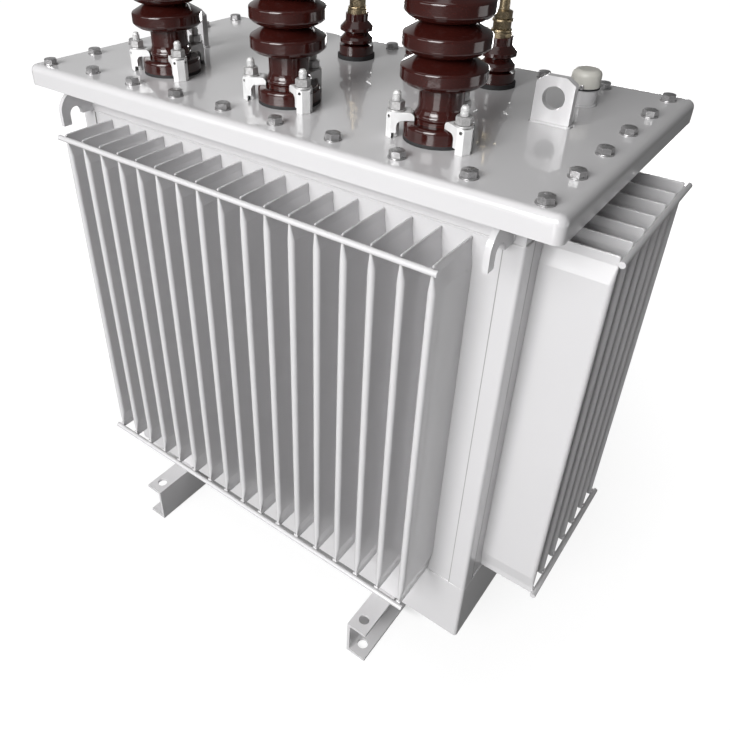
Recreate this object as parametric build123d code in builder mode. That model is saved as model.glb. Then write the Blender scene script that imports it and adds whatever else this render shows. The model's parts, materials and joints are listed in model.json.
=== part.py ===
from build123d import *
import os

# Oil-filled distribution transformer with a sealed corrugated tank.
# Millimetres, +X along the tank, -Y the high-voltage front, +Z up.
# The origin is on the floor under the middle of the tank.

# Tank shell
tank_length = 850.0
tank_width = 406.0
band_height = 133.0
band_thickness = 5.0
floor_thickness = 6.0
wall_height = 668.0
sheet_thickness = 3.0
sheet_setback = 1.5
post_leg = 29.0
post_thickness = 5.0
corner_bend = 5.5
rim_height = 71.0
rim_thickness = 6.0
rim_setback = 2.0
rim_flange_thickness = 8.0

# Cooling fins: hollow folds, pinched flat at both ends, tied by two rods a side
fin_depth = 96.0
fin_thickness = 12.0
fin_skin = 1.5
front_fin_pitch = 44.0
side_fin_pitch = 46.0
fin_edge_margin = 34.0
fin_end_gap = 7.5
pinch_thickness = 3.6
pinch_flat = 12.0
pinch_taper = 26.0
rod_diameter = 9.0
rod_overhang = 10.0
weld_gap = 0.2

# Core and windings, sealed inside the tank
core_limb = 120.0
core_stack = 110.0
core_headroom = 180.0
core_foot_height = 40.0
core_foot_width = 60.0
core_foot_length = 260.0
winding_gap = 29.0
winding_end_clearance = 54.0
winding_yoke_gap = 8.0

# Cover
cover_overhang = 58.0
cover_thickness = 5.0
cover_skirt = 34.0
cover_bend = 12.0
cover_corner = 13.0
cover_gasket_thickness = 4.0
flange_clearance = 2.0

# Feet: two channels, open outwards
foot_height = 82.0
foot_length = 604.0
foot_flange = 40.0
foot_thickness = 5.5
foot_root_radius = 5.0
foot_hole_diameter = 20.0
foot_hole_gauge = 550.0
foot_hole_inset = 25.0

# Lashing hooks under the cover
hook_end_inset = 18.0
hook_thickness = 8.0
hook_reach = 65.0
hook_arm = 16.0
hook_slot = 25.0
hook_crown = 27.0
hook_drop = 56.0
hook_round = 34.0
hook_gap = 2.0

# Lifting lugs on the cover
lug_end_inset = 133.0
lug_setback = 12.0
lug_width = 55.0
lug_height = 66.0
lug_thickness = 12.0
lug_chamfer_width = 9.0
lug_chamfer_height = 13.0
lug_hole_diameter = 32.0
lug_hole_height = 37.0

# Filler at the back right of the cover
filler_end_inset = 133.0
filler_back_inset = 133.0
stub_diameter = 40.0
stub_bore = 32.0
stub_height = 24.0
cap_diameter = 43.0
cap_height = 25.0
cap_edge = 9.0
seam_height = 2.5
seam_inset = 2.0

# High-voltage bushings
hv_spacing = 255.0
hv_front_inset = 127.0
hv_gasket_thickness = 5.0
hv_base_diameter = 93.0
hv_base_height = 19.5
hv_base_round = 6.0
hv_neck_diameter = 59.0
hv_neck_height = 45.5
hv_collar_width = 2.5
hv_collar_height = 4.0
hv_bead_width = 1.5
hv_bead_height = 8.0
hv_flare_height = 8.5
hv_shed_diameter = 111.0
hv_shed_count = 3
hv_shed_pitch = 40.0
hv_shed_rim = 15.0
hv_shed_flat = 6.0
hv_shed_cup = 10.0
hv_shed_round = 4.0
hv_head_height = 16.0
hv_cap_diameter = 46.0
hv_cap_height = 15.0
hv_stud_diameter = 12.0
hv_stud_length = 46.0

# Cast claws that hold the high-voltage bushings down
claw_count = 3
claw_start_angle = -30.0
claw_width = 24.0
claw_gap = 9.0
claw_leg = 13.5
claw_arm_thickness = 10.5
claw_clearance = 1.0
claw_seat_gap = 0.2
claw_corner = 3.0
claw_arch_round = 8.0
claw_tip_round = 7.0
claw_tip_hollow = 1.8
claw_bevel = 6.0
claw_toe_width = 7.5
claw_toe_height = 8.0
claw_stud_offset = 10.5
claw_stud_hole = 13.0
claw_pin_drop = 6.0
claw_pin_hole = 4.5
claw_pin_depth = 4.0

# Low-voltage bushings
lv_count = 4
lv_spacing = 136.0
lv_back_inset = 127.0
lv_gasket_diameter = 66.0
lv_gasket_thickness = 7.0
lv_base_diameter = 60.0
lv_base_height = 16.0
lv_core_diameter = 40.0
lv_shed_diameter = 58.0
lv_shed_count = 2
lv_shed_pitch = 20.0
lv_shed_rim = 5.0
lv_head_height = 12.0
lv_cap_diameter = 34.0
lv_cap_height = 8.0
lv_stud_diameter = 16.0
lv_stud_length = 48.0

# Levels from the floor up
tank_bottom = foot_height
band_top = tank_bottom + band_height
wall_top = band_top + wall_height
rim_top = wall_top + rim_height
cover_seat = rim_top + cover_gasket_thickness
cover_top = cover_seat + cover_thickness
skirt_bottom = cover_top - cover_skirt
fin_bottom = band_top + fin_end_gap
fin_height = wall_height - 2 * fin_end_gap

# Plan sizes that several pieces share
cover_length = tank_length + 2 * cover_overhang
cover_width = tank_width + 2 * cover_overhang
rim_length = tank_length - 2 * rim_setback
rim_width = tank_width - 2 * rim_setback
flange_length = cover_length - 2 * (cover_bend + flange_clearance)
flange_width = cover_width - 2 * (cover_bend + flange_clearance)
front_span = tank_length - 2 * post_leg
side_span = tank_width - 2 * post_leg
foot_hole_pitch = foot_length - 2 * foot_hole_inset
lug_x = cover_length / 2 - lug_end_inset
filler_x = cover_length / 2 - filler_end_inset
filler_y = cover_width / 2 - filler_back_inset
hv_row = hv_front_inset - cover_width / 2
lv_row = cover_width / 2 - lv_back_inset
hv_base_top = hv_gasket_thickness + hv_base_height
hv_neck_top = hv_base_top + hv_neck_height
hv_collar_radius = hv_neck_diameter / 2 + hv_collar_width
hv_bead_radius = hv_collar_radius + hv_bead_width

LOW_SIDE = (Align.CENTER, Align.MIN)
HIGH_SIDE = (Align.CENTER, Align.MAX)

os.makedirs("parts", exist_ok=True)


def write(piece, label):
    piece.part.label = label
    export_step(piece.part, f"parts/{label}.step")


# Horizontal plane at a height, turned about the vertical
def level(height, turn=0):
    return Plane.XY.offset(height).rotated((0, 0, turn))


# Number of fins that fit a wall between its edge margins
def fin_count(span, pitch):
    return int((span - 2 * fin_edge_margin) // pitch) + 1


# Plan section of a fin of one thickness, its root on the sheet and its tip towards -Y
def fin_section(thickness):
    tip = fin_depth - thickness / 2
    with Locations((0, sheet_thickness / 2)):
        Rectangle(thickness, tip + sheet_thickness / 2, align=HIGH_SIDE)
    with Locations((0, -tip)):
        Circle(thickness / 2)


# One fin, standing on its lower pinched end
body_start = pinch_flat + pinch_taper
body_height = fin_height - 2 * body_start
with BuildPart() as fin:
    with BuildSketch(Plane.XY.offset(body_start)):
        fin_section(fin_thickness)
    extrude(amount=body_height)
    with BuildSketch(Plane.XY):
        fin_section(pinch_thickness)
    extrude(amount=pinch_flat)
    with BuildSketch(Plane.XY.offset(pinch_flat)):
        fin_section(pinch_thickness)
    with BuildSketch(Plane.XY.offset(body_start)):
        fin_section(fin_thickness)
    loft(ruled=True)
    with BuildSketch(Plane.XY.offset(fin_height - body_start)):
        fin_section(fin_thickness)
    with BuildSketch(Plane.XY.offset(fin_height - pinch_flat)):
        fin_section(pinch_thickness)
    loft(ruled=True)
    with BuildSketch(Plane.XY.offset(fin_height - pinch_flat)):
        fin_section(pinch_thickness)
    extrude(amount=pinch_flat)


# Corrugated wall: a sheet between two corner posts with its row of hollow fins
def corrugated_wall(label, turn, tank_depth, span, pitch):
    face = tank_depth / 2 - sheet_setback
    count = fin_count(span, pitch)
    cavity_depth = fin_depth - fin_thickness / 2 + sheet_thickness
    with BuildPart() as wall:
        with BuildSketch(level(band_top, turn)):
            with Locations((0, -face)):
                Rectangle(span, sheet_thickness, align=LOW_SIDE)
        extrude(amount=wall_height)
        with Locations(level(fin_bottom, turn)):
            with Locations((0, -face, 0)):
                with GridLocations(pitch, 0, count, 1):
                    add(fin.part)
        with BuildSketch(level(fin_bottom + body_start, turn)):
            with Locations((0, -face + sheet_thickness)):
                with GridLocations(pitch, 0, count, 1):
                    Rectangle(fin_thickness - 2 * fin_skin, cavity_depth, align=HIGH_SIDE)
        extrude(amount=body_height, mode=Mode.SUBTRACT)
    write(wall, label)


# The two round rods welded across the fin tips of one wall, level with the fin ends
def fin_rods(label, turn, tank_depth, span, pitch):
    run = (fin_count(span, pitch) - 1) * pitch + 2 * rod_overhang
    reach = tank_depth / 2 - sheet_setback + fin_depth + weld_gap + rod_diameter / 2
    low = fin_bottom + rod_diameter / 2
    high = fin_bottom + fin_height - rod_diameter / 2
    with BuildPart() as rods:
        with BuildSketch(Plane.YZ.rotated((0, 0, turn))):
            with Locations((-reach, low), (-reach, high)):
                Circle(rod_diameter / 2)
        extrude(amount=run / 2, both=True)
    write(rods, label)


walls = (
    ("front", 0, tank_width, front_span, front_fin_pitch),
    ("right", 90, tank_length, side_span, side_fin_pitch),
    ("back", 180, tank_width, front_span, front_fin_pitch),
    ("left", 270, tank_length, side_span, side_fin_pitch),
)
for side, turn, tank_depth, span, pitch in walls:
    corrugated_wall(f"{side}_corrugated_wall", turn, tank_depth, span, pitch)
    fin_rods(f"{side}_fin_rods", turn, tank_depth, span, pitch)


# Angle-shaped corner posts of one end of the tank
def corner_posts(label, end):
    outward = Align.MAX if end > 0 else Align.MIN
    inner_leg = post_leg - post_thickness
    corner = (end * tank_length / 2, -tank_width / 2)
    with BuildPart() as posts:
        with BuildSketch(Plane.XY.offset(band_top)) as section:
            with Locations(corner):
                Rectangle(post_leg, post_leg, align=(outward, Align.MIN))
            fillet(section.vertices().sort_by_distance(corner)[0], corner_bend)
            with Locations((corner[0] - end * post_thickness, corner[1] + post_thickness)):
                Rectangle(inner_leg, inner_leg, align=(outward, Align.MIN), mode=Mode.SUBTRACT)
            mirror(about=Plane.XZ)
        extrude(amount=wall_height)
    write(posts, label)


corner_posts("left_corner_posts", -1)
corner_posts("right_corner_posts", 1)

# Lower tank band under the corrugated walls
with BuildPart() as lower_band:
    with BuildSketch(Plane.XY.offset(tank_bottom)):
        RectangleRounded(tank_length, tank_width, corner_bend)
        Rectangle(tank_length - 2 * band_thickness, tank_width - 2 * band_thickness, mode=Mode.SUBTRACT)
    extrude(amount=band_height)
write(lower_band, "tank_lower_band")

# Tank floor inside the band
with BuildPart() as tank_floor:
    with BuildSketch(Plane.XY.offset(tank_bottom)):
        Rectangle(tank_length - 2 * band_thickness, tank_width - 2 * band_thickness)
    extrude(amount=floor_thickness)
write(tank_floor, "tank_floor")

# Three-limbed core with its windings, standing on the tank floor
core_bottom = tank_bottom + floor_thickness + core_foot_height
core_height = rim_top - core_headroom - core_bottom
window_height = core_height - 2 * core_limb
inside_length = tank_length - 2 * (sheet_setback + sheet_thickness)
winding_diameter = (inside_length - 2 * winding_end_clearance - 2 * winding_gap) / 3
limb_spacing = winding_diameter + winding_gap
with BuildPart() as core:
    with BuildSketch(Plane.XZ):
        with Locations((0, core_bottom)):
            Rectangle(2 * limb_spacing + core_limb, core_height, align=LOW_SIDE)
        with Locations((0, core_bottom + core_limb)):
            with GridLocations(limb_spacing, 0, 2, 1):
                Rectangle(limb_spacing - core_limb, window_height, align=LOW_SIDE, mode=Mode.SUBTRACT)
    extrude(amount=core_stack / 2, both=True)
    with BuildSketch(Plane.XY.offset(core_bottom + core_limb + winding_yoke_gap)):
        with GridLocations(limb_spacing, 0, 3, 1):
            Circle(winding_diameter / 2)
    extrude(amount=window_height - 2 * winding_yoke_gap)
    with BuildSketch(Plane.XY.offset(core_bottom)):
        with GridLocations(2 * limb_spacing, 0, 2, 1):
            Rectangle(core_foot_width, core_foot_length)
    extrude(amount=-core_foot_height)
write(core, "core_and_windings")

# Angle-section rim that carries the cover, its flange turned outwards
with BuildPart() as rim:
    with BuildSketch(Plane.XY.offset(wall_top)):
        Rectangle(rim_length, rim_width)
        Rectangle(rim_length - 2 * rim_thickness, rim_width - 2 * rim_thickness, mode=Mode.SUBTRACT)
    extrude(amount=rim_height)
    with BuildSketch(Plane.XY.offset(rim_top)):
        Rectangle(flange_length, flange_width)
        Rectangle(rim_length - 2 * rim_thickness, rim_width - 2 * rim_thickness, mode=Mode.SUBTRACT)
    extrude(amount=-rim_flange_thickness)
write(rim, "tank_rim")

# Flat gasket between rim and cover
with BuildPart() as cover_gasket:
    with BuildSketch(Plane.XY.offset(rim_top)):
        Rectangle(flange_length, flange_width)
        Rectangle(rim_length, rim_width, mode=Mode.SUBTRACT)
    extrude(amount=cover_gasket_thickness)
write(cover_gasket, "cover_gasket")

# Pressed cover: a shallow tray upside down, with bent edges
with BuildPart() as cover:
    with BuildSketch(Plane.XY.offset(skirt_bottom)):
        RectangleRounded(cover_length, cover_width, cover_corner)
    extrude(amount=cover_skirt)
    fillet(cover.faces().sort_by(Axis.Z)[-1].edges(), cover_bend)
    offset(amount=-cover_thickness, openings=cover.faces().sort_by(Axis.Z)[0])
write(cover, "cover")


# Channel foot under one end of the tank, its web inwards
def channel_foot(label, end):
    outward = Align.MIN if end > 0 else Align.MAX
    web_face = end * (foot_hole_gauge / 2 - foot_flange / 2)
    inner_height = foot_height - 2 * foot_thickness
    with BuildPart() as foot:
        with BuildSketch(Plane.XZ) as section:
            with Locations((web_face, 0)):
                Rectangle(foot_flange, foot_height, align=(outward, Align.MIN))
            with Locations((web_face + end * foot_thickness, foot_thickness)):
                Rectangle(foot_flange, inner_height, align=(outward, Align.MIN), mode=Mode.SUBTRACT)
            roots = section.vertices().group_by(Axis.X)[1 if end > 0 else -2]
            fillet(roots, foot_root_radius)
        extrude(amount=foot_length / 2, both=True)
        with Locations((end * foot_hole_gauge / 2, 0, foot_height)):
            with GridLocations(0, foot_hole_pitch, 1, 2):
                Hole(foot_hole_diameter / 2)
    write(foot, label)


channel_foot("left_foot", -1)
channel_foot("right_foot", 1)


# Lashing hook: a flat plate on the rim's face, with a slot open downwards
def lashing_hook(label, end, side):
    face = side * rim_width / 2
    outward = Align.MIN if side > 0 else Align.MAX
    top = skirt_bottom - hook_gap
    root_bottom = wall_top + hook_gap
    arm_tip = face + side * hook_reach
    slot_middle = arm_tip - side * (hook_arm + hook_slot / 2)
    crown = top - hook_crown - hook_slot / 2
    outer_face = end * (tank_length / 2 - hook_end_inset)
    with BuildPart() as hook:
        with BuildSketch(Plane.YZ.offset(outer_face)) as outline:
            with Locations((face, top)):
                Rectangle(hook_reach, top - root_bottom, align=(outward, Align.MAX))
            with Locations((arm_tip, top)):
                Rectangle(hook_arm, hook_drop, align=(Align.MAX if side > 0 else Align.MIN, Align.MAX))
            fillet(outline.vertices().sort_by_distance((arm_tip, top))[0], hook_round)
            with Locations((slot_middle, crown)):
                Circle(hook_slot / 2, mode=Mode.SUBTRACT)
                Rectangle(hook_slot, hook_drop, align=HIGH_SIDE, mode=Mode.SUBTRACT)
        extrude(amount=-end * hook_thickness)
    write(hook, label)


for end_name, end in (("left", -1), ("right", 1)):
    for side_name, side in (("front", -1), ("back", 1)):
        lashing_hook(f"{side_name}_{end_name}_hook", end, side)


# Lifting lug: an upright plate with clipped corners and a shackle hole
def lifting_lug(label, end):
    with BuildPart() as lug:
        with BuildSketch(Plane.XZ.offset(-lug_setback)) as outline:
            with Locations((end * lug_x, cover_top)):
                Rectangle(lug_width, lug_height, align=LOW_SIDE)
            top_corners = outline.vertices().group_by(Axis.Y)[-1]
            chamfer(top_corners, lug_chamfer_width, lug_chamfer_height)
            with Locations((end * lug_x, cover_top + lug_hole_height)):
                Circle(lug_hole_diameter / 2, mode=Mode.SUBTRACT)
        extrude(amount=lug_thickness / 2, both=True)
    write(lug, label)


lifting_lug("left_lifting_lug", -1)
lifting_lug("right_lifting_lug", 1)

# Filler: a pipe stub with a screw cap that leaves a narrow seam above the pipe
stub_top = cover_top + stub_height
with BuildPart() as filler_stub:
    with BuildSketch(Plane.XY.offset(cover_top)):
        with Locations((filler_x, filler_y)):
            Circle(stub_diameter / 2)
            Circle(stub_bore / 2, mode=Mode.SUBTRACT)
    extrude(amount=stub_height)
write(filler_stub, "filler_stub")

with BuildPart() as filler_cap:
    with BuildSketch(Plane.XY.offset(stub_top)):
        with Locations((filler_x, filler_y)):
            Circle(stub_diameter / 2 - seam_inset)
    extrude(amount=seam_height)
    with BuildSketch(Plane.XY.offset(stub_top + seam_height)):
        with Locations((filler_x, filler_y)):
            Circle(cap_diameter / 2)
    extrude(amount=cap_height)
    fillet(filler_cap.faces().sort_by(Axis.Z)[-1].edges(), cap_edge)
write(filler_cap, "filler_cap")


# Vertical plane through a bushing's axis, its origin on the cover
def bushing_plane(x, y):
    return Plane(origin=(x, y, cover_top), x_dir=(1, 0, 0), z_dir=(0, -1, 0))


# Half outline of the sheds: each one a cup underneath and a slope on top
def shed_outline(core_radius, shed_radius, bottom, count, pitch, rim, flat, cup):
    for number in range(count):
        foot = bottom + number * pitch
        root = Line((core_radius, foot), (core_radius + flat, foot))
        under = TangentArc(root @ 1, (shed_radius, foot + cup), tangent=root % 1)
        edge = Line(under @ 1, (shed_radius, foot + cup + rim))
        Line(edge @ 1, (core_radius, foot + pitch))


# High-voltage bushing: drum-shaped base, beaded collar, flared neck, cup sheds and head
def hv_porcelain(label, x):
    base_radius = hv_base_diameter / 2
    neck_radius = hv_neck_diameter / 2
    shed_radius = hv_shed_diameter / 2
    bead_bottom = hv_base_top + hv_collar_height
    bead_top = bead_bottom + hv_bead_height
    sheds_top = hv_neck_top + hv_shed_count * hv_shed_pitch
    head_top = sheds_top + hv_head_height
    plane = bushing_plane(x, hv_row)
    with BuildPart() as porcelain:
        with BuildSketch(plane) as outline:
            with BuildLine():
                neck = Line((neck_radius, hv_neck_top), (neck_radius, bead_top + hv_flare_height))
                flare = TangentArc(neck @ 1, (hv_collar_radius, bead_top), tangent=neck % 1)
                bead_middle = (hv_bead_radius, (bead_bottom + bead_top) / 2)
                bead = ThreePointArc(flare @ 1, bead_middle, (hv_collar_radius, bead_bottom))
                Polyline(
                    bead @ 1,
                    (hv_collar_radius, hv_base_top),
                    (0, hv_base_top),
                    (0, head_top),
                    (neck_radius, head_top),
                    (neck_radius, sheds_top),
                )
                shed_outline(
                    neck_radius,
                    shed_radius,
                    hv_neck_top,
                    hv_shed_count,
                    hv_shed_pitch,
                    hv_shed_rim,
                    hv_shed_flat,
                    hv_shed_cup,
                )
            make_face()
            with Locations((0, hv_gasket_thickness)):
                Rectangle(base_radius, hv_base_height, align=(Align.MIN, Align.MIN))
            rounded = outline.vertices().sort_by_distance((base_radius, hv_base_top))[0]
            fillet(rounded, hv_base_round)
            rims = outline.vertices().filter_by_position(Axis.X, shed_radius - 0.1, shed_radius + 0.1)
            fillet(rims, hv_shed_round)
        revolve(axis=Axis(plane.origin, (0, 0, 1)))
    write(porcelain, label)


# Metal cap with its threaded stud on top of a bushing
def terminal(label, x, y, seat, cap_diameter, cap_height, stud_diameter, stud_length):
    with BuildPart() as cap:
        with BuildSketch(Plane.XY.offset(cover_top + seat)):
            with Locations((x, y)):
                Circle(cap_diameter / 2)
        extrude(amount=cap_height)
        chamfer(cap.faces().sort_by(Axis.Z)[-1].edges(), cap_height / 4)
        with BuildSketch(Plane.XY.offset(cover_top + seat + cap_height)):
            with Locations((x, y)):
                Circle(stud_diameter / 2)
        extrude(amount=stud_length)
    write(cap, label)


# Rubber rings under a row of bushings
def gasket_rings(label, places, diameter, thickness):
    with BuildPart() as rings:
        with BuildSketch(Plane.XY.offset(cover_top)):
            with Locations(*places):
                Circle(diameter / 2)
        extrude(amount=thickness)
    write(rings, label)


# One claw on the +X side of a bushing: a leg on its toe beside the base and an arm over it
claw_inner = hv_base_diameter / 2 + claw_gap
claw_outer = claw_inner + claw_leg
claw_hollow = hv_bead_radius + claw_clearance
claw_tip = claw_hollow - claw_tip_hollow
claw_stud = hv_base_diameter / 2 + claw_stud_offset
claw_seat = hv_base_top + claw_seat_gap
claw_top = claw_seat + claw_arm_thickness
with BuildPart() as claw:
    with BuildSketch(Plane.XZ) as outline:
        with Locations((claw_outer, 0)):
            Rectangle(claw_outer - claw_tip, claw_top, align=(Align.MAX, Align.MIN))
        with Locations((claw_inner, 0)):
            Rectangle(claw_inner, claw_seat, align=(Align.MAX, Align.MIN), mode=Mode.SUBTRACT)
        with Locations((claw_outer - claw_toe_width, 0)):
            Rectangle(claw_leg, claw_toe_height, align=(Align.MAX, Align.MIN), mode=Mode.SUBTRACT)
        fillet(outline.vertices().sort_by_distance((claw_inner, claw_seat))[0], claw_arch_round)
        fillet(outline.vertices().sort_by_distance((claw_tip, claw_top))[0], claw_tip_round)
    extrude(amount=claw_width / 2, both=True)
    chamfer(claw.faces().sort_by(Axis.X)[-1].edges().filter_by(Axis.Z), claw_bevel)
    chamfer(claw.faces().sort_by(Axis.X)[-1].edges().sort_by(Axis.Z)[-1], claw_corner)
    Cylinder(claw_hollow, 2 * claw_top, mode=Mode.SUBTRACT)
    with Locations((claw_stud, 0, claw_top)):
        Hole(claw_stud_hole / 2)
    for side in (-1, 1):
        bevel_middle = (
            claw_outer - claw_bevel / 2,
            side * (claw_width - claw_bevel) / 2,
            claw_top - claw_pin_drop,
        )
        with Locations(Plane(bevel_middle, z_dir=(1, side, 0))):
            Hole(claw_pin_hole / 2, claw_pin_depth)


# The claws round one bushing
def claws(label, x):
    with BuildPart() as ring:
        with Locations((x, hv_row, cover_top)):
            with PolarLocations(0, claw_count, start_angle=claw_start_angle):
                add(claw.part)
    write(ring, label)


hv_seat = hv_neck_top + hv_shed_count * hv_shed_pitch + hv_head_height
hv_places = []
for name, place in (("left", -1), ("middle", 0), ("right", 1)):
    x = place * hv_spacing
    hv_places.append((x, hv_row))
    hv_porcelain(f"hv_bushing_{name}", x)
    terminal(
        f"hv_terminal_{name}",
        x,
        hv_row,
        hv_seat,
        hv_cap_diameter,
        hv_cap_height,
        hv_stud_diameter,
        hv_stud_length,
    )
    claws(f"hv_claws_{name}", x)
gasket_rings("hv_gaskets", hv_places, hv_base_diameter, hv_gasket_thickness)


# Low-voltage bushing: short drum, small sheds and head
def lv_porcelain(label, x):
    core_radius = lv_core_diameter / 2
    base_top = lv_gasket_thickness + lv_base_height
    sheds_top = base_top + lv_shed_count * lv_shed_pitch
    head_top = sheds_top + lv_head_height
    plane = bushing_plane(x, lv_row)
    with BuildPart() as porcelain:
        with BuildSketch(plane):
            with BuildLine():
                base = Polyline(
                    (core_radius, base_top),
                    (lv_base_diameter / 2, base_top),
                    (lv_base_diameter / 2, lv_gasket_thickness),
                    (0, lv_gasket_thickness),
                    (0, head_top),
                    (core_radius, head_top),
                    (core_radius, sheds_top),
                )
                for number in range(lv_shed_count):
                    foot = base_top + number * lv_shed_pitch
                    edge = foot + lv_shed_pitch / 2
                    Polyline(
                        (core_radius, foot),
                        (lv_shed_diameter / 2, edge - lv_shed_rim),
                        (lv_shed_diameter / 2, edge),
                        (core_radius, foot + lv_shed_pitch),
                    )
            make_face()
        revolve(axis=Axis(plane.origin, (0, 0, 1)))
    write(porcelain, label)


lv_seat = lv_gasket_thickness + lv_base_height + lv_shed_count * lv_shed_pitch + lv_head_height
lv_places = []
for number in range(lv_count):
    x = (number - (lv_count - 1) / 2) * lv_spacing
    lv_places.append((x, lv_row))
    lv_porcelain(f"lv_bushing_{number + 1}", x)
    terminal(
        f"lv_terminal_{number + 1}",
        x,
        lv_row,
        lv_seat,
        lv_cap_diameter,
        lv_cap_height,
        lv_stud_diameter,
        lv_stud_length,
    )
gasket_rings("lv_gaskets", lv_places, lv_gasket_diameter, lv_gasket_thickness)
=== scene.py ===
import json
import logging
import math
import random
from collections.abc import Sequence
from dataclasses import dataclass
from enum import Enum

import bmesh
import bpy
from mathutils import Matrix, Vector


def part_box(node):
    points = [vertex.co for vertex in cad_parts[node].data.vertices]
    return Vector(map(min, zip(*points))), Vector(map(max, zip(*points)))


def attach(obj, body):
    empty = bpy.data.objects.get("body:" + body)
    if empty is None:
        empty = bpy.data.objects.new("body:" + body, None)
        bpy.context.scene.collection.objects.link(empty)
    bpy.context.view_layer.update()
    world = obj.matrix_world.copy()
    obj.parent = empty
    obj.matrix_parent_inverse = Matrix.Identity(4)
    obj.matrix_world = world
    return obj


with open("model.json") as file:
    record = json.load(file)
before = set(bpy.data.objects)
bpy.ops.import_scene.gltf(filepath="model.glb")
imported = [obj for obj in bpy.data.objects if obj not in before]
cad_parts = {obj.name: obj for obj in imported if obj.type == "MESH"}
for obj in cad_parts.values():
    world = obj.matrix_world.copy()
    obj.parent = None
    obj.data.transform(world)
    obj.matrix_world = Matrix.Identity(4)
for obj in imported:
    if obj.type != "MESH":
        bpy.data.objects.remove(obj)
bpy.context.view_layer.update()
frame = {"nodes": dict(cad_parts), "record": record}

LOG = logging.getLogger("transformer")
BODY = "root"
MERGE = 1e-6
FULL_TURN = 2 * math.pi
UP = Vector((0, 0, 1))
Triple = tuple[float, float, float]
Ends = tuple[float, float, float, float]
Colour = Triple
Node = bpy.types.Node
Socket = bpy.types.NodeSocket
Thing = bpy.types.Object
Shape = bmesh.types.BMesh
THREAD_DEPTH = 0.6
HEX_CHAMFER_DEG = 30.0
HEX_TOP_SHARE = 0.97
NOISE_LOW, NOISE_HIGH = 0.3, 0.7


class Slot(Enum):
    """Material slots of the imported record."""

    PAINT = "tank_paint"
    PORCELAIN = "brown_porcelain"
    RUBBER = "black_rubber"
    CAST = "cast_alloy"
    BRASS = "terminal_brass"
    CAP = "cream_cap"
    CORE = "core_steel"


class Side(Enum):
    """The four walls of the tank, each with the direction that it faces."""

    FRONT = (0, -1)
    RIGHT = (1, 0)
    BACK = (0, 1)
    LEFT = (-1, 0)

    @property
    def word(self) -> str:
        """The side's name as it stands in the node names."""
        return self.name.lower()

    @property
    def outward(self) -> Vector:
        """Unit vector out of the wall."""
        return Vector((self.value[0], self.value[1], 0))

    @property
    def along(self) -> Vector:
        """Unit vector along the wall, level."""
        return UP.cross(self.outward)


# Shader helpers


class NodeSheet:
    """Short-hand for filling one node tree."""

    def __init__(self, tree: bpy.types.NodeTree) -> None:
        """Keep the tree that is filled.

        Args:
            tree: The node tree of a material, a world or a group.
        """
        self.tree = tree

    def add(self, kind: str, values: dict | None = None, **settings: object) -> Node:
        """Add a node.

        Args:
            kind: Blender's name of the node type.
            values: Input sockets to set, by name or number.
            **settings: Properties of the node itself.

        Returns:
            The new node.
        """
        node = self.tree.nodes.new(kind)
        for key, value in settings.items():
            setattr(node, key, value)
        for socket, value in (values or {}).items():
            node.inputs[socket].default_value = value
        return node

    def link(self, source: Socket, target: Socket) -> None:
        """Join two sockets."""
        self.tree.links.new(source, target)

    def feed(self, value: object, target: Socket) -> None:
        """Link or set an input.

        Args:
            value: A socket to link, or a colour or a number to set.
            target: The input that gets it.
        """
        if isinstance(value, Socket):
            self.link(value, target)
        elif isinstance(value, tuple):
            target.default_value = (*value, 1)
        else:
            target.default_value = value

    def math(self, operation: str, first: object, second: object = 0.0) -> Socket:
        """Add a Math node.

        Args:
            operation: The node's operation.
            first: A socket or a number.
            second: A socket or a number.

        Returns:
            The node's result.
        """
        node = self.add("ShaderNodeMath", operation=operation)
        self.feed(first, node.inputs[0])
        self.feed(second, node.inputs[1])
        return node.outputs[0]

    def spread(self, value: Socket, ends: Ends) -> Socket:
        """Map a value from one range to another, clamped.

        Args:
            value: The socket to map.
            ends: From low, from high, to low, to high.

        Returns:
            The mapped value.
        """
        node = self.add("ShaderNodeMapRange", dict(zip((1, 2, 3, 4), ends)))
        self.link(value, node.inputs[0])
        return node.outputs[0]

    def blend(self, share: object, first: object, second: object) -> Socket:
        """Mix two colours.

        Args:
            share: How much of the second shows, a socket or a number.
            first: A colour socket or a colour.
            second: A colour socket or a colour.

        Returns:
            The mixed colour.
        """
        node = self.add("ShaderNodeMix", data_type="RGBA")
        for number, value in ((0, share), (6, first), (7, second)):
            self.feed(value, node.inputs[number])
        return node.outputs[2]

    def object_place(self) -> Socket:
        """Object coordinates of the surface."""
        return self.add("ShaderNodeTexCoord").outputs["Object"]

    def layers(self, scale: float, distortion: float) -> Socket:
        """Add level bands, one above the other, on Object coordinates.

        Args:
            scale: How close the bands lie.
            distortion: How uneven they are.

        Returns:
            The height of the bands, from 0 to 1.
        """
        values = {"Scale": scale, "Distortion": distortion}
        node = self.add("ShaderNodeTexWave", values, bands_direction="Z")
        self.link(self.object_place(), node.inputs["Vector"])
        return node.outputs[1]

    def noise(self, scale: object, detail: float = 2.0) -> Socket:
        """Add a noise texture on Object coordinates.

        Args:
            scale: Features a metre, a socket or a number.
            detail: Octaves of finer noise.

        Returns:
            The noise value, from 0 to 1.
        """
        node = self.add("ShaderNodeTexNoise", {"Detail": detail})
        self.feed(scale, node.inputs["Scale"])
        self.link(self.object_place(), node.inputs["Vector"])
        return node.outputs[0]


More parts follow.
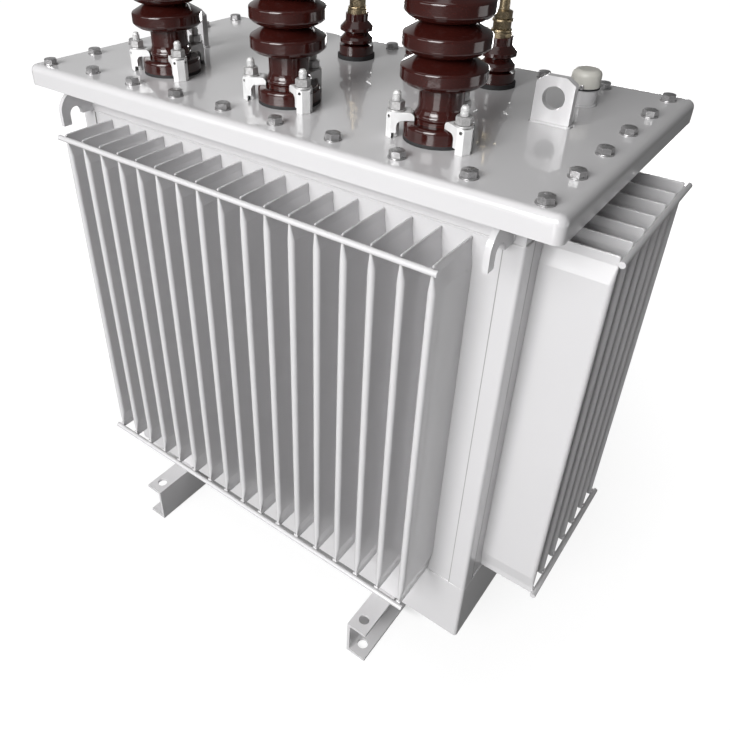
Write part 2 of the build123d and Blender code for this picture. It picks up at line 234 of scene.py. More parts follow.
class SharedEffect:
    """A shader node group that is built once and placed in several materials."""

    name = ""
    sockets: tuple[tuple[str, str, str], ...] = ()

    def tree(self) -> bpy.types.NodeTree:
        """Give the group, built on its first use.

        Returns:
            The node group.
        """
        found = bpy.data.node_groups.get(self.name)
        if found:
            return found
        tree = bpy.data.node_groups.new(self.name, "ShaderNodeTree")
        for label, way, kind in self.sockets:
            tree.interface.new_socket(label, in_out=way, socket_type=kind)
        sheet = NodeSheet(tree)
        self.fill(sheet, sheet.add("NodeGroupInput"), sheet.add("NodeGroupOutput"))
        return tree

    def fill(self, sheet: NodeSheet, given: Node, result: Node) -> None:
        """Put the nodes between the group's inputs and outputs.

        Args:
            sheet: The group's node sheet.
            given: The group's input node.
            result: The group's output node.
        """
        raise NotImplementedError

    def place(self, sheet: NodeSheet, **values: object) -> Node:
        """Place the group in a material.

        Args:
            sheet: The material's node sheet.
            **values: The group's inputs. A socket is linked, a value is set.

        Returns:
            The group node.
        """
        node = sheet.add("ShaderNodeGroup", node_tree=self.tree())
        for key, value in values.items():
            sheet.feed(value, node.inputs[key])
        return node


FLOAT = "NodeSocketFloat"
COLOUR = "NodeSocketColor"


class ToneDrift(SharedEffect):
    """Slow, uneven lightening and darkening of a colour over the surface."""

    name = "tone_drift"
    sockets = (
        ("Colour", "INPUT", COLOUR),
        ("Strength", "INPUT", FLOAT),
        ("Scale", "INPUT", FLOAT),
        ("Colour", "OUTPUT", COLOUR),
        ("Drift", "OUTPUT", FLOAT),
    )

    def fill(self, sheet: NodeSheet, given: Node, result: Node) -> None:
        """Scale the colour by noise about one.

        Args:
            sheet: The group's node sheet.
            given: The group's input node.
            result: The group's output node.
        """
        patches = sheet.noise(given.outputs["Scale"], detail=4.0)
        centred = sheet.math("SUBTRACT", patches, 0.5)
        gain = sheet.math("ADD", sheet.math("MULTIPLY", centred, given.outputs["Strength"]), 1.0)
        scaled = sheet.add("ShaderNodeVectorMath", operation="SCALE")
        sheet.link(given.outputs["Colour"], scaled.inputs[0])
        sheet.link(gain, scaled.inputs["Scale"])
        sheet.link(scaled.outputs[0], result.inputs["Colour"])
        sheet.link(patches, result.inputs["Drift"])


class OrangePeel(SharedEffect):
    """Height of sprayed enamel: fine peel on a slow wave."""

    name = "orange_peel"
    sockets = (("Fine", "INPUT", FLOAT), ("Slow", "INPUT", FLOAT), ("Height", "OUTPUT", FLOAT))

    def fill(self, sheet: NodeSheet, given: Node, result: Node) -> None:
        """Add two scales of noise.

        Args:
            sheet: The group's node sheet.
            given: The group's input node.
            result: The group's output node.
        """
        fine = sheet.noise(given.outputs["Fine"], detail=1.0)
        slow = sheet.noise(given.outputs["Slow"], detail=0.0)
        weighted = sheet.math("MULTIPLY", slow, 3.0)
        sheet.link(sheet.math("ADD", fine, weighted), result.inputs["Height"])


class DustFilm(SharedEffect):
    """Thin dust that lies on what faces upwards."""

    name = "dust_film"
    sockets = (
        ("Colour", "INPUT", COLOUR),
        ("Dust", "INPUT", COLOUR),
        ("Amount", "INPUT", FLOAT),
        ("Colour", "OUTPUT", COLOUR),
    )

    def fill(self, sheet: NodeSheet, given: Node, result: Node) -> None:
        """Mask the dust by the surface's slope and by patchy noise.

        Args:
            sheet: The group's node sheet.
            given: The group's input node.
            result: The group's output node.
        """
        facing = sheet.add("ShaderNodeSeparateXYZ")
        sheet.link(sheet.add("ShaderNodeTexCoord").outputs["Normal"], facing.inputs[0])
        flat = sheet.spread(facing.outputs["Z"], (0.5, 0.95, 0.0, 1.0))
        patches = sheet.spread(sheet.noise(14.0, detail=6.0), (0.35, 0.75, 0.2, 1.0))
        lying = sheet.math("MULTIPLY", flat, patches)
        mask = sheet.math("MULTIPLY", lying, given.outputs["Amount"])
        sheet.link(sheet.blend(mask, given.outputs["Colour"], given.outputs["Dust"]), result.inputs["Colour"])


class EdgeMask(SharedEffect):
    """Where the surface turns sharply, within a given width of the edge."""

    name = "edge_mask"
    sockets = (("Mask", "OUTPUT", FLOAT),)
    width = 0.0025

    def fill(self, sheet: NodeSheet, given: Node, result: Node) -> None:
        """Compare the rounded normal with the true one.

        Args:
            sheet: The group's node sheet.
            given: The group's input node, not used here.
            result: The group's output node.
        """
        rounded = sheet.add("ShaderNodeBevel", {"Radius": self.width}, samples=4)
        plain = sheet.add("ShaderNodeNewGeometry")
        angle = sheet.add("ShaderNodeVectorMath", operation="DOT_PRODUCT")
        sheet.link(rounded.outputs[0], angle.inputs[0])
        sheet.link(plain.outputs["Normal"], angle.inputs[1])
        turned = sheet.math("SUBTRACT", 1.0, angle.outputs["Value"])
        sheet.link(sheet.spread(turned, (0.02, 0.3, 0.0, 1.0)), result.inputs["Mask"])


class CreviceShade(SharedEffect):
    """Where other surfaces stand close by, as in corners, joints and holes."""

    name = "crevice_shade"
    sockets = (("Reach", "INPUT", FLOAT), ("Mask", "OUTPUT", FLOAT))

    def fill(self, sheet: NodeSheet, given: Node, result: Node) -> None:
        """Turn the share of open sky near the surface into a mask.

        Args:
            sheet: The group's node sheet.
            given: The group's input node.
            result: The group's output node.
        """
        near = sheet.add("ShaderNodeAmbientOcclusion", samples=4)
        sheet.link(given.outputs["Reach"], near.inputs["Distance"])
        sheet.link(sheet.spread(near.outputs["AO"], (0.25, 0.75, 1.0, 0.0)), result.inputs["Mask"])


# Finishes


def lighter(colour: Colour, gain: float) -> Colour:
    """Give a colour times the gain, 1 at most."""
    return tuple(min(1.0, part * gain) for part in colour)


class Finish:
    """A surface finish that gives one Blender material."""

    name = ""

    def material(self) -> bpy.types.Material:
        """Give the material, made on its first use.

        Returns:
            The material.
        """
        found = bpy.data.materials.get(self.name)
        if found:
            return found
        material = bpy.data.materials.new(self.name)
        material.use_nodes = True
        material.node_tree.nodes.clear()
        sheet = NodeSheet(material.node_tree)
        shader = sheet.add("ShaderNodeBsdfPrincipled")
        output = sheet.add("ShaderNodeOutputMaterial")
        sheet.link(shader.outputs[0], output.inputs[0])
        self.fill(sheet, shader)
        return material

    def fill(self, sheet: NodeSheet, shader: Node) -> None:
        """Set the shader's sockets and link its textures.

        Args:
            sheet: The material's node sheet.
            shader: The Principled shader.
        """
        raise NotImplementedError

    @staticmethod
    def bump(sheet: NodeSheet, shader: Node, height: Socket, depth: float) -> None:
        """Drive the shader's normal by a height.

        Args:
            sheet: The material's node sheet.
            shader: The Principled shader.
            height: The height, from 0 to 1.
            depth: Metres between 0 and 1.
        """
        node = sheet.add("ShaderNodeBump", {"Strength": 1.0, "Distance": depth})
        sheet.link(height, node.inputs["Height"])
        sheet.link(node.outputs[0], shader.inputs["Normal"])

    @staticmethod
    def vary_gloss(sheet: NodeSheet, shader: Node, noise: Socket, roughness: tuple[float, float]) -> None:
        """Drive the shader's roughness by a noise.

        Args:
            sheet: The material's node sheet.
            shader: The Principled shader.
            noise: The noise, from 0 to 1.
            roughness: The lowest and the highest roughness.
        """
        rough = sheet.spread(noise, (NOISE_LOW, NOISE_HIGH, *roughness))
        sheet.link(rough, shader.inputs["Roughness"])


@dataclass(frozen=True)
class GlossPaint(Finish):
    """Sprayed gloss enamel on steel."""

    name: str = "gloss_grey_enamel"
    colour: Colour = (0.642, 0.635, 0.644)
    dust: Colour = (0.58, 0.57, 0.555)
    dust_amount: float = 0.12
    roughness: float = 0.28
    coat: float = 0.75
    coat_roughness: float = 0.035
    peel: tuple[float, float] = (420.0, 22.0)
    peel_depth: float = 0.000025
    drift: float = 0.04
    drift_scale: float = 6.0
    # Painted highlight: how far the colour is lightened along sharp edges.
    edge_highlight_share: float = 0.25
    edge_gain: float = 1.12
    # Painted shade: the colour laid into corners, joints and holes, and how far and how strongly.
    painted_crevice_shade: Colour = (0.33, 0.325, 0.32)
    painted_crevice_reach: float = 0.004
    painted_crevice_amount: float = 0.5

    def fill(self, sheet: NodeSheet, shader: Node) -> None:
        """Enamel colour with drift and dust, a painted highlight along sharp edges and painted shade in
        crevices, over a peeled gloss.

        Args:
            sheet: The material's node sheet.
            shader: The Principled shader.
        """
        shader.inputs["Coat Weight"].default_value = self.coat
        shader.inputs["Coat Roughness"].default_value = self.coat_roughness
        drift = ToneDrift().place(sheet, Colour=self.colour, Strength=self.drift, Scale=self.drift_scale)
        tone = drift.outputs["Colour"]
        film = DustFilm().place(sheet, Colour=tone, Dust=self.dust, Amount=self.dust_amount)
        # Painted highlight: the colour is lightened along sharp edges.
        edges = EdgeMask().place(sheet)
        lift = sheet.math("MULTIPLY", edges.outputs["Mask"], self.edge_highlight_share)
        clean = sheet.blend(lift, film.outputs["Colour"], lighter(self.colour, self.edge_gain))
        # Painted shade: darker where other surfaces stand close, as in corners and joints.
        crevices = CreviceShade().place(sheet, Reach=self.painted_crevice_reach)
        painted_crevice_share = sheet.math("MULTIPLY", crevices.outputs["Mask"], self.painted_crevice_amount)
        sheet.link(sheet.blend(painted_crevice_share, clean, self.painted_crevice_shade), shader.inputs["Base Color"])
        shader.inputs["Roughness"].default_value = self.roughness
        peel = OrangePeel().place(sheet, Fine=self.peel[0], Slow=self.peel[1])
        self.bump(sheet, shader, peel.outputs["Height"], self.peel_depth)


@dataclass(frozen=True)
class PorcelainGlaze(Finish):
    """Thick brown glaze, thinner and redder on its edges."""

    name: str = "brown_glaze"
    colour: Colour = (0.034, 0.006, 0.0046)
    thin: Colour = (0.13, 0.026, 0.02)
    roughness: float = 0.13
    ior: float = 1.62
    drift: float = 0.5
    drift_scale: float = 24.0
    edge_share: float = 0.55
    speckle_scale: float = 700.0
    speckles: Ends = (0.62, 0.75, 0.0, 0.35)
    wave: tuple[float, float] = (160.0, 30.0)
    wave_depth: float = 0.00008

    def fill(self, sheet: NodeSheet, shader: Node) -> None:
        """Deep colour with fine speckles, thin edges and a soft wave in the gloss.

        Args:
            sheet: The material's node sheet.
            shader: The Principled shader.
        """
        shader.inputs["Roughness"].default_value = self.roughness
        shader.inputs["IOR"].default_value = self.ior
        drift = ToneDrift().place(sheet, Colour=self.colour, Strength=self.drift, Scale=self.drift_scale)
        edges = EdgeMask().place(sheet)
        share = sheet.math("MULTIPLY", edges.outputs["Mask"], self.edge_share)
        glaze = sheet.blend(share, drift.outputs["Colour"], self.thin)
        specks = sheet.spread(sheet.noise(self.speckle_scale), self.speckles)
        sheet.link(sheet.blend(specks, glaze, self.thin), shader.inputs["Base Color"])
        wave = OrangePeel().place(sheet, Fine=self.wave[0], Slow=self.wave[1])
        self.bump(sheet, shader, wave.outputs["Height"], self.wave_depth)


@dataclass(frozen=True)
class CastAlloy(Finish):
    """Bright cast metal with a sandy skin."""

    name: str = "bright_cast_alloy"
    colour: Colour = (0.8, 0.8, 0.8)
    drift: float = 0.3
    drift_scale: float = 60.0
    grain_scale: float = 900.0
    grain_depth: float = 0.0001
    metal: float = 0.15
    roughness: tuple[float, float] = (0.3, 0.45)
    edge_share: float = 0.6
    edge_gain: float = 1.25
    # Painted shade: a dark colour laid into crevices and holes, and how far and how strongly.
    painted_crevice_shade: Colour = (0.09, 0.085, 0.08)
    painted_crevice_reach: float = 0.005
    painted_crevice_amount: float = 0.85

    def fill(self, sheet: NodeSheet, shader: Node) -> None:
        """Sandy bump, uneven tone, brighter edges and painted shade in crevices and holes.

        Args:
            sheet: The material's node sheet.
            shader: The Principled shader.
        """
        shader.inputs["Metallic"].default_value = self.metal
        drift = ToneDrift().place(sheet, Colour=self.colour, Strength=self.drift, Scale=self.drift_scale)
        edges = EdgeMask().place(sheet)
        brighter_edge_colour = lighter(self.colour, self.edge_gain)
        share = sheet.math("MULTIPLY", edges.outputs["Mask"], self.edge_share)
        clean = sheet.blend(share, drift.outputs["Colour"], brighter_edge_colour)
        # Painted shade: strongly darker where other surfaces stand close, so holes and joints read dark.
        crevices = CreviceShade().place(sheet, Reach=self.painted_crevice_reach)
        painted_crevice_share = sheet.math("MULTIPLY", crevices.outputs["Mask"], self.painted_crevice_amount)
        sheet.link(sheet.blend(painted_crevice_share, clean, self.painted_crevice_shade), shader.inputs["Base Color"])
        self.vary_gloss(sheet, shader, drift.outputs["Drift"], self.roughness)
        self.bump(sheet, shader, sheet.noise(self.grain_scale, detail=3.0), self.grain_depth)


@dataclass(frozen=True)
class ZincPlate(Finish):
    """Zinc-plated steel of bolts, nuts and washers."""

    name: str = "zinc_plate"
    colour: Colour = (0.43, 0.425, 0.43)
    dull: Colour = (0.28, 0.275, 0.275)
    metal: float = 0.75
    roughness: tuple[float, float] = (0.25, 0.42)
    # Painted shade: a dark colour laid into crevices, and how far and how strongly.
    painted_crevice_shade: Colour = (0.06, 0.057, 0.055)
    painted_crevice_reach: float = 0.004
    painted_crevice_amount: float = 0.8
    cloud_scale: float = 220.0
    dull_patches: Ends = (0.4, 0.65, 0.0, 0.8)
    edge_share: float = 0.7
    edge_gain: float = 1.5
    grain_scale: float = 1400.0
    grain_depth: float = 0.00003

    def fill(self, sheet: NodeSheet, shader: Node) -> None:
        """Cloudy metal with duller patches, brighter edges and painted shade in crevices.

        Args:
            sheet: The material's node sheet.
            shader: The Principled shader.
        """
        shader.inputs["Metallic"].default_value = self.metal
        clouds = sheet.noise(self.cloud_scale, detail=4.0)
        worn = sheet.blend(sheet.spread(clouds, self.dull_patches), self.colour, self.dull)
        edges = EdgeMask().place(sheet)
        share = sheet.math("MULTIPLY", edges.outputs["Mask"], self.edge_share)
        clean = sheet.blend(share, worn, lighter(self.colour, self.edge_gain))
        # Painted shade: darker where other surfaces stand close, as under heads and round washers.
        crevices = CreviceShade().place(sheet, Reach=self.painted_crevice_reach)
        painted_crevice_share = sheet.math("MULTIPLY", crevices.outputs["Mask"], self.painted_crevice_amount)
        sheet.link(sheet.blend(painted_crevice_share, clean, self.painted_crevice_shade), shader.inputs["Base Color"])
        self.vary_gloss(sheet, shader, clouds, self.roughness)
        self.bump(sheet, shader, sheet.noise(self.grain_scale), self.grain_depth)


@dataclass(frozen=True)
class SealRubber(Finish):
    """Matt black gasket rubber."""

    name: str = "seal_rubber"
    colour: Colour = (0.018, 0.018, 0.019)
    bloom: Colour = (0.07, 0.07, 0.07)
    bloom_scale: float = 120.0
    bloom_patches: Ends = (0.5, 0.8, 0.0, 0.25)
    drift: float = 0.6
    drift_scale: float = 40.0
    roughness: tuple[float, float] = (0.55, 0.8)
    grain_scale: float = 1600.0
    grain_depth: float = 0.00005

    def fill(self, sheet: NodeSheet, shader: Node) -> None:
        """Dark tone with a grey bloom and a fine skin.

        Args:
            sheet: The material's node sheet.
            shader: The Principled shader.
        """
        drift = ToneDrift().place(sheet, Colour=self.colour, Strength=self.drift, Scale=self.drift_scale)
        bloom = sheet.spread(sheet.noise(self.bloom_scale, detail=5.0), self.bloom_patches)
        sheet.link(sheet.blend(bloom, drift.outputs["Colour"], self.bloom), shader.inputs["Base Color"])
        self.vary_gloss(sheet, shader, drift.outputs["Drift"], self.roughness)
        self.bump(sheet, shader, sheet.noise(self.grain_scale), self.grain_depth)


@dataclass(frozen=True)
class TurnedBrass(Finish):
    """Machined brass with turning marks, dulled by tarnish."""

    name: str = "turned_brass"
    colour: Colour = (0.42, 0.34, 0.22)
    tarnish: Colour = (0.2, 0.15, 0.1)
    stain_scale: float = 70.0
    stains: Ends = (0.45, 0.75, 0.0, 0.7)
    roughness: tuple[float, float] = (0.2, 0.38)
    rings: tuple[float, float] = (900.0, 0.6)
    ring_depth: float = 0.00003

    def fill(self, sheet: NodeSheet, shader: Node) -> None:
        """Rings round the vertical axis in the bump, tarnish in patches.

        Args:
            sheet: The material's node sheet.
            shader: The Principled shader.
        """
        shader.inputs["Metallic"].default_value = 1.0
        patches = sheet.noise(self.stain_scale, detail=5.0)
        stained = sheet.blend(sheet.spread(patches, self.stains), self.colour, self.tarnish)
        sheet.link(stained, shader.inputs["Base Color"])
        self.vary_gloss(sheet, shader, patches, self.roughness)
        self.bump(sheet, shader, sheet.layers(*self.rings), self.ring_depth)


@dataclass(frozen=True)
class CapPlastic(Finish):
    """Cream moulded plastic of the filler cap."""

    name: str = "cream_plastic"
    colour: Colour = (0.57, 0.56, 0.515)
    dust: Colour = (0.5, 0.48, 0.43)
    dust_amount: float = 0.25
    drift: float = 0.12
    drift_scale: float = 30.0
    roughness: tuple[float, float] = (0.28, 0.42)
    grain_scale: float = 1100.0
    grain_depth: float = 0.00003

    def fill(self, sheet: NodeSheet, shader: Node) -> None:
        """Cream tone, a little yellowed and dusty, with a satin gloss.

        Args:
            sheet: The material's node sheet.
            shader: The Principled shader.
        """
        drift = ToneDrift().place(sheet, Colour=self.colour, Strength=self.drift, Scale=self.drift_scale)
        tone = drift.outputs["Colour"]
        film = DustFilm().place(sheet, Colour=tone, Dust=self.dust, Amount=self.dust_amount)
        sheet.link(film.outputs["Colour"], shader.inputs["Base Color"])
        self.vary_gloss(sheet, shader, drift.outputs["Drift"], self.roughness)
        self.bump(sheet, shader, sheet.noise(self.grain_scale), self.grain_depth)


@dataclass(frozen=True)
class CoreSteel(Finish):
    """Oiled core laminations and wound paper, sealed in the tank."""

    name: str = "oiled_laminations"
    colour: Colour = (0.2, 0.17, 0.13)
    paper: Colour = (0.08, 0.07, 0.055)
    metal: float = 0.4
    bands: tuple[float, float] = (160.0, 0.4)
    band_share: float = 0.35
    band_depth: float = 0.0002
    drift: float = 0.3
    drift_scale: float = 20.0
    roughness: tuple[float, float] = (0.25, 0.45)

    def fill(self, sheet: NodeSheet, shader: Node) -> None:
        """Fine level layers in tone and bump.

        Args:
            sheet: The material's node sheet.
            shader: The Principled shader.
        """
        shader.inputs["Metallic"].default_value = self.metal
        layers = sheet.layers(*self.bands)
        drift = ToneDrift().place(sheet, Colour=self.colour, Strength=self.drift, Scale=self.drift_scale)
        share = sheet.math("MULTIPLY", layers, self.band_share)
        sheet.link(sheet.blend(share, drift.outputs["Colour"], self.paper), shader.inputs["Base Color"])
        self.vary_gloss(sheet, shader, drift.outputs["Drift"], self.roughness)
        self.bump(sheet, shader, layers, self.band_depth)


@dataclass(frozen=True)
class PaintedJointShade(Finish):
    """Painted shade: a dark grey strip where the narrow joint between two painted sheets lies in shade."""

    name: str = "painted_joint_shade"
    colour: Colour = (0.3, 0.295, 0.29)
    drift: float = 0.7
    drift_scale: float = 30.0
    rough_spread: Ends = (0.0, 1.0, 0.5, 0.8)
    grain_scale: float = 900.0
    grain_depth: float = 0.00005

    def fill(self, sheet: NodeSheet, shader: Node) -> None:
        """Uneven grey, darker in runs along the joint.

        Args:
            sheet: The material's node sheet.
            shader: The Principled shader.
        """
        drift = ToneDrift().place(sheet, Colour=self.colour, Strength=self.drift, Scale=self.drift_scale)
        sheet.link(drift.outputs["Colour"], shader.inputs["Base Color"])
        sheet.link(sheet.spread(drift.outputs["Drift"], self.rough_spread), shader.inputs["Roughness"])
        self.bump(sheet, shader, sheet.noise(self.grain_scale), self.grain_depth)


NODE_FINISHES: dict[Slot, Finish] = {
    Slot.PAINT: GlossPaint(),
    Slot.PORCELAIN: PorcelainGlaze(),
    Slot.RUBBER: SealRubber(),
    Slot.CAST: CastAlloy(),
    Slot.BRASS: TurnedBrass(),
    Slot.CAP: CapPlastic(),
    Slot.CORE: CoreSteel(),
}
NUT_STEEL = ZincPlate("nut_steel", (0.56, 0.555, 0.555), (0.4, 0.395, 0.39), 0.5, (0.32, 0.48))
STUD_STEEL = ZincPlate("stud_steel", (0.8, 0.8, 0.8), (0.66, 0.66, 0.655), 0.25, (0.3, 0.45))


# Mesh helpers


def finish_piece(
    name: str, bm: Shape, finish: Finish, sharp_deg: float = 35.0
) -> Thing:
    """Turn a bmesh into a piece that rides on the transformer.

    Args:
        name: The piece's name.
        bm: The shape, in place, in metres. It is freed.
        finish: The surface finish.
        sharp_deg: Edges that turn by more than this stay sharp.

    Returns:
        The new object.
    """
    bmesh.ops.recalc_face_normals(bm, faces=bm.faces)
    mesh = bpy.data.meshes.new(name)
    bm.to_mesh(mesh)
    bm.free()
    mesh.shade_smooth()
    mesh.set_sharp_from_angle(angle=math.radians(sharp_deg))
    mesh.materials.append(finish.material())
    piece = bpy.data.objects.new(name, mesh)
    bpy.context.scene.collection.objects.link(piece)
    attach(piece, BODY)
    LOG.info("%s: %d faces", name, len(mesh.polygons))
    return piece


def stamp(target: Shape, pattern: Shape, places: Sequence[Matrix]) -> None:
    """Copy one shape into another at several places.

    Args:
        target: The bmesh that collects the copies.
        pattern: The shape, about the origin. It is freed.
        places: Where each copy goes.
    """
    mesh = bpy.data.meshes.new("pattern")
    pattern.to_mesh(mesh)
    pattern.free()
    for place in places:
        known = len(target.verts)
        target.from_mesh(mesh)
        target.verts.ensure_lookup_table()
        bmesh.ops.transform(target, matrix=place, verts=target.verts[known:])
    bpy.data.meshes.remove(mesh)


def add_disc(
    bm: Shape,
    radius: float,
    low: float,
    high: float,
    edge: float,
    segments: int = 32,
    edge_segments: int = 2,
) -> None:
    """Add an upright round disc with a bevelled upper edge.

    Args:
        bm: The bmesh to add to.
        radius: The disc's radius.
        low: Height of the underside.
        high: Height of the top.
        edge: Width of the bevel.
        segments: Sides round the disc.
        edge_segments: Steps across the bevel.
    """
    middle = (low + high) / 2
    made = bmesh.ops.create_cone(
        bm,
        cap_ends=True,
        segments=segments,
        radius1=radius,
        radius2=radius,
        depth=high - low,
        matrix=Matrix.Translation((0, 0, middle)),
    )
    upper = [v for v in made["verts"] if v.co.z > middle]
    rim = dict.fromkeys(e for v in upper for e in v.link_edges if e.other_vert(v).co.z > low + MERGE)
    bmesh.ops.bevel(
        bm, geom=list(rim), offset=edge, affect="EDGES", segments=edge_segments, profile=0.5, material=-1
    )


def add_washer(bm: Shape, diameter: float, low: float, thickness: float) -> None:
    """Add a washer with a bevelled upper edge.

    Args:
        bm: The bmesh to add to.
        diameter: Outer diameter.
        low: Height of the underside.
        thickness: The washer's thickness.
    """
    add_disc(bm, diameter / 2, low, low + thickness, thickness / 4)


def add_hex(bm: Shape, flats: float, low: float, high: float, both_ends: bool = False) -> None:
    """Add a hexagon head or nut with turned corners, about the vertical axis.

    Args:
        bm: The bmesh to add to.
        flats: Width across the flats.
        low: Height of the underside.
        high: Height of the top.
        both_ends: Turn the lower corners as well, as on a nut.
    """
    blank = bmesh.new()
    corner = flats / math.sqrt(3)
    turned = corner - HEX_TOP_SHARE * flats / 2
    place = Matrix.Translation((0, 0, (low + high) / 2))
    bmesh.ops.create_cone(
        blank, cap_ends=True, segments=48, radius1=corner, radius2=corner, depth=high - low, matrix=place
    )
    levels = (high, low) if both_ends else (high,)
    for level in levels:
        rim = [e for e in blank.edges if all(abs(v.co.z - level) < MERGE for v in e.verts)]
        flat = [v for e in rim for v in e.verts]
        ring = bmesh.ops.extrude_edge_only(blank, edges=rim)
        ends = [f for f in blank.faces if len(f.verts) > 4]
        caps = [f for f in ends if all(abs(v.co.z - level) < MERGE for v in f.verts)]
        bmesh.ops.delete(blank, geom=caps, context="FACES_ONLY")
        inner = [v for v in ring["geom"] if isinstance(v, bmesh.types.BMVert)]
        share = 1 - turned / corner
        bmesh.ops.scale(blank, vec=(share, share, 1), verts=inner)
        drop = turned * math.tan(math.radians(HEX_CHAMFER_DEG)) * (-1 if level == high else 1)
        bmesh.ops.translate(blank, vec=(0, 0, drop), verts=list(set(flat)))
        edges = [e for e in ring["geom"] if isinstance(e, bmesh.types.BMEdge)]
        bmesh.ops.contextual_create(blank, geom=edges)
    for number in range(6):
        outward = Matrix.Rotation(number * FULL_TURN / 6, 3, "Z") @ Vector((1, 0, 0))
        whole = blank.verts[:] + blank.edges[:] + blank.faces[:]
        cut = bmesh.ops.bisect_plane(
            blank, geom=whole, dist=MERGE, plane_co=outward * flats / 2, plane_no=outward, clear_outer=True
        )
        edges = [e for e in cut["geom_cut"] if isinstance(e, bmesh.types.BMEdge)]
        bmesh.ops.contextual_create(blank, geom=edges)
    stamp(bm, blank, [Matrix.Identity(4)])


def add_thread(
    bm: Shape, diameter: float, pitch: float, low: float, high: float, steps: int = 16
) -> None:
    """Add a screw thread about the vertical axis.

    Args:
        bm: The bmesh to add to.
        diameter: Outer diameter.
        pitch: Rise a turn.
        low: Height where it starts.
        high: Height where it ends.
        steps: Faces a turn.
    """
    depth = THREAD_DEPTH * pitch
    outer = diameter / 2
    turns = max(1, round((high - low) / pitch) - 1)
    corners = ((outer - depth, 0), (outer, pitch * 0.45), (outer, pitch * 0.55), (outer - depth, pitch))
    ring = [bm.verts.new((radius, 0, low + height)) for radius, height in corners]
    edges = [bm.edges.new(pair) for pair in zip(ring, ring[1:])]
    bmesh.ops.spin(
        bm,
        geom=ring + edges,
        cent=(0, 0, 0),
        axis=(0, 0, 1),
        dvec=(0, 0, pitch / steps),
        angle=turns * FULL_TURN,
        steps=turns * steps,
    )


@dataclass
class WeldBead:
    """A painted weld bead with its ripples, along a line of points."""

    radius: float = 0.0028
    ripple: float = 0.0026
    sides: int = 7
    unevenness: float = 0.18
    seed: int = 11

    def lay(self, bm: Shape, points: Sequence[Vector], closed: bool = False) -> None:
        """Lay the bead along the points.

        Args:
            bm: The bmesh to add to.
            points: Corners of the line, in order.
            closed: Whether the line comes back to its start.
        """
        line = [Vector(p) for p in points] + ([Vector(points[0])] if closed else [])
        lengths = [(b - a).length for a, b in zip(line, line[1:])]
        total = sum(lengths)
        steps = max(6, round(2 * total / self.ripple))
        draw = random.Random(self.seed + round(total * 1e5))
        swell = [1 + self.unevenness * (draw.random() - 0.5) for _ in range(steps + 1)]
        grid = bmesh.ops.create_grid(bm, x_segments=steps, y_segments=self.sides, size=0.5)["verts"]
        for vert in grid:
            share = vert.co.x + 0.5
            turn = (vert.co.y + 0.5) * FULL_TURN
            number = round(share * steps)
            spot, heading = self.spot_at(line, lengths, share * total)
            across = heading.cross(UP)
            across = across.normalized() if across.length > 0.1 else Vector((1, 0, 0))
            lift = across.cross(heading)
            size = self.radius * swell[number % steps if closed else number] * (1.0 if number % 2 else 0.84)
            if not closed and number in (0, steps):
                size = 0.0
            vert.co = spot + (across * math.cos(turn) + lift * math.sin(turn)) * size
        bmesh.ops.remove_doubles(bm, verts=grid, dist=MERGE)

    @staticmethod
    def spot_at(line: Sequence[Vector], lengths: Sequence[float], distance: float) -> tuple[Vector, Vector]:
        """Find a point on the line.

        Args:
            line: Corners of the line.
            lengths: Lengths of its runs.
            distance: How far along the line.

        Returns:
            The point and the heading there.
        """
        for start, end, length in zip(line, line[1:], lengths):
            if distance <= length + MERGE:
                return start.lerp(end, distance / length), (end - start).normalized()
            distance -= length
        return line[-1].copy(), (line[-1] - line[-2]).normalized()


# Sub-assemblies


@dataclass
class PaintedSolids:
    """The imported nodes, each dressed in the finish of its slot."""

    def dress(self) -> None:
        """Give every node its finish."""
        for row in frame["record"]["subparts"]:
            finish = NODE_FINISHES[Slot(row["material_slot"])]
            piece = frame["nodes"][row["node"]]
            piece.data.materials.clear()
            piece.data.materials.append(finish.material())
            LOG.info("%s: %s", row["node"], finish.name)


@dataclass
class CoverBolts:
    """Hexagon bolts on plain washers round the edge of the cover."""

    edge_inset: float = 0.036
    end_inset: float = 0.034
    end_front_inset: float = 0.0245
    end_back_inset: float = 0.0375
    front_count: int = 10
    end_count: int = 6
    flats: float = 0.019
    head_height: float = 0.0078
    washer_diameter: float = 0.0238
    washer_thickness: float = 0.002
    seed: int = 5

    def places(self) -> list[Matrix]:
        """Where the bolts stand, each turned by its own angle.

        Returns:
            One matrix a bolt.
        """
        low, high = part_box("cover")
        west, east = low.x + self.end_inset, high.x - self.end_inset
        south, north = low.y + self.end_front_inset, high.y - self.end_back_inset
        spots = []
        for number in range(1, self.front_count - 1):
            x = west + (east - west) * number / (self.front_count - 1)
            spots += [(x, low.y + self.edge_inset), (x, high.y - self.edge_inset)]
        for number in range(self.end_count):
            y = south + (north - south) * number / (self.end_count - 1)
            spots += [(west, y), (east, y)]
        draw = random.Random(self.seed)
        found = []
        for x, y in spots:
            turn = Matrix.Rotation(draw.random() * FULL_TURN, 4, "Z")
            found.append(Matrix.Translation((x, y, high.z)) @ turn)
        return found

    def build(self) -> Thing:
        """Make the bolts as one piece.

        Returns:
            The piece.
        """
        bolt = bmesh.new()
        add_washer(bolt, self.washer_diameter, 0.0, self.washer_thickness)
        add_hex(bolt, self.flats, self.washer_thickness, self.washer_thickness + self.head_height)
        bolts = bmesh.new()
        stamp(bolts, bolt, self.places())
        return finish_piece("cover_bolts", bolts, ZincPlate())


